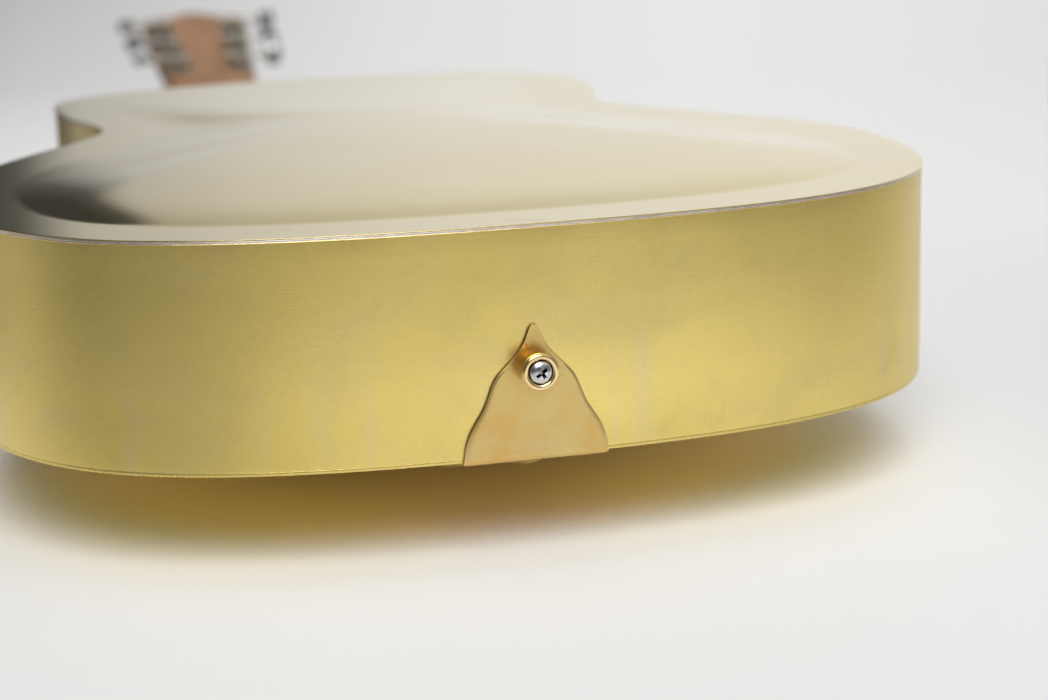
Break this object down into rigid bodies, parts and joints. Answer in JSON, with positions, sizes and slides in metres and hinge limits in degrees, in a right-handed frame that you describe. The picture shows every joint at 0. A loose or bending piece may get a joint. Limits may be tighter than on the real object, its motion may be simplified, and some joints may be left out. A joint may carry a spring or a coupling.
{
  "type": "resonator guitar",
  "caption": "Metal-body single-cone resonator guitar: brass shell with stamped back, cone and biscuit under a pierced coverplate, slim neck and geared tuners.",
  "frame": {"origin": "on the centreline at the butt edge of the body, in the plane of the face (the rim of the top plate)", "axes": "+X towards the treble side, +Y along the neck towards the headstock, +Z out of the face; the back is at negative z"},
  "size_m": [0.3622, 0.9994, 0.1188],
  "materials": {
    "polished_brass": "polished",
    "satin_brass": "satin, tarnished",
    "solder": "dull",
    "spun_aluminium": "spun",
    "maple": "raw",
    "screw_steel": "polished",
    "cover_brass": "fine brushed",
    "mahogany": "satin lacquer",
    "ebony": "satin",
    "rosewood": "oiled",
    "fret_wire": "polished",
    "bone": "smooth",
    "nickel_plate": "nickel plated",
    "gold_brass": "polished",
    "wound_string": "bronze wound",
    "plain_string": "plain wire",
    "button_steel": "nickel plated"
  },
  "bodies": {
    "guitar": {"body_back": "polished_brass", "body_sides": "satin_brass", "back_seam_solder": "solder", "body_top": "satin_brass", "soundwell": "satin_brass", "cone": "spun_aluminium", "biscuit": "maple", "saddle": "maple", "biscuit_screw": "screw_steel", "coverplate": "cover_brass", "handrest": "cover_brass", "neck": "mahogany", "headstock_veneer": "ebony", "neck_stick": "maple", "stick_support_lower": "maple", "stick_support_upper": "maple", "fretboard": "rosewood", "fret_01": "fret_wire", "fret_02": "fret_wire", "fret_03": "fret_wire", "fret_04": "fret_wire", "fret_05": "fret_wire", "fret_06": "fret_wire", "fret_07": "fret_wire", "fret_08": "fret_wire", "fret_09": "fret_wire", "fret_10": "fret_wire", "fret_11": "fret_wire", "fret_12": "fret_wire", "fret_13": "fret_wire", "fret_14": "fret_wire", "fret_15": "fret_wire", "fret_16": "fret_wire", "fret_17": "fret_wire", "fret_18": "fret_wire", "fret_19": "fret_wire", "nut": "bone", "tuner_plate_treble": "nickel_plate", "tuner_plate_bass": "nickel_plate", "tailpiece": "satin_brass", "strap_button": "gold_brass", "strap_screw": "screw_steel", "string_6_low_e": "wound_string", "string_5_a": "wound_string", "string_4_d": "wound_string", "string_3_g": "wound_string", "string_2_b": "plain_string", "string_1_high_e": "plain_string"},
    "button_treble_1": {"tuner_button_treble_1": "button_steel"},
    "post_treble_1": {"tuner_post_treble_1": "nickel_plate"},
    "button_treble_2": {"tuner_button_treble_2": "button_steel"},
    "post_treble_2": {"tuner_post_treble_2": "nickel_plate"},
    "button_treble_3": {"tuner_button_treble_3": "button_steel"},
    "post_treble_3": {"tuner_post_treble_3": "nickel_plate"},
    "button_bass_1": {"tuner_button_bass_1": "button_steel"},
    "post_bass_1": {"tuner_post_bass_1": "nickel_plate"},
    "button_bass_2": {"tuner_button_bass_2": "button_steel"},
    "post_bass_2": {"tuner_post_bass_2": "nickel_plate"},
    "button_bass_3": {"tuner_button_bass_3": "button_steel"},
    "post_bass_3": {"tuner_post_bass_3": "nickel_plate"}
  },
  "joints": [
    {"name": "button_turn_treble_1", "type": "hinge", "parent": "guitar", "child": "button_treble_1", "pos_m": [0.03194, 0.89373, -0.05087], "axis": [0.9975, -0.0678, 0.0215], "continuous": true},
    {"name": "post_turn_treble_1", "type": "hinge", "parent": "guitar", "child": "post_treble_1", "pos_m": [0.02138, 0.88651, -0.04858], "axis": [0, 0.3024, 0.9532], "continuous": true},
    {"name": "button_turn_treble_2", "type": "hinge", "parent": "guitar", "child": "button_treble_2", "pos_m": [0.03422, 0.92415, -0.06052], "axis": [0.9975, -0.0678, 0.0215], "continuous": true},
    {"name": "post_turn_treble_2", "type": "hinge", "parent": "guitar", "child": "post_treble_2", "pos_m": [0.02365, 0.91694, -0.05823], "axis": [0, 0.3024, 0.9532], "continuous": true},
    {"name": "button_turn_treble_3", "type": "hinge", "parent": "guitar", "child": "button_treble_3", "pos_m": [0.03649, 0.95458, -0.07017], "axis": [0.9975, -0.0678, 0.0215], "continuous": true},
    {"name": "post_turn_treble_3", "type": "hinge", "parent": "guitar", "child": "post_treble_3", "pos_m": [0.02593, 0.94736, -0.06788], "axis": [0, 0.3024, 0.9532], "continuous": true},
    {"name": "button_turn_bass_1", "type": "hinge", "parent": "guitar", "child": "button_bass_1", "pos_m": [-0.03194, 0.89373, -0.05087], "axis": [-0.9975, -0.0678, 0.0215], "continuous": true},
    {"name": "post_turn_bass_1", "type": "hinge", "parent": "guitar", "child": "post_bass_1", "pos_m": [-0.02138, 0.88651, -0.04858], "axis": [0, 0.3024, 0.9532], "continuous": true},
    {"name": "button_turn_bass_2", "type": "hinge", "parent": "guitar", "child": "button_bass_2", "pos_m": [-0.03422, 0.92415, -0.06052], "axis": [-0.9975, -0.0678, 0.0215], "continuous": true},
    {"name": "post_turn_bass_2", "type": "hinge", "parent": "guitar", "child": "post_bass_2", "pos_m": [-0.02365, 0.91694, -0.05823], "axis": [0, 0.3024, 0.9532], "continuous": true},
    {"name": "button_turn_bass_3", "type": "hinge", "parent": "guitar", "child": "button_bass_3", "pos_m": [-0.03649, 0.95458, -0.07017], "axis": [-0.9975, -0.0678, 0.0215], "continuous": true},
    {"name": "post_turn_bass_3", "type": "hinge", "parent": "guitar", "child": "post_bass_3", "pos_m": [-0.02593, 0.94736, -0.06788], "axis": [0, 0.3024, 0.9532], "continuous": true}
  ],
  "couplings": [
    {"joint": "post_turn_treble_1", "follows": "button_turn_treble_1", "ratio": 0.071429},
    {"joint": "post_turn_treble_2", "follows": "button_turn_treble_2", "ratio": 0.071429},
    {"joint": "post_turn_treble_3", "follows": "button_turn_treble_3", "ratio": 0.071429},
    {"joint": "post_turn_bass_1", "follows": "button_turn_bass_1", "ratio": -0.071429},
    {"joint": "post_turn_bass_2", "follows": "button_turn_bass_2", "ratio": -0.071429},
    {"joint": "post_turn_bass_3", "follows": "button_turn_bass_3", "ratio": -0.071429}
  ]
}
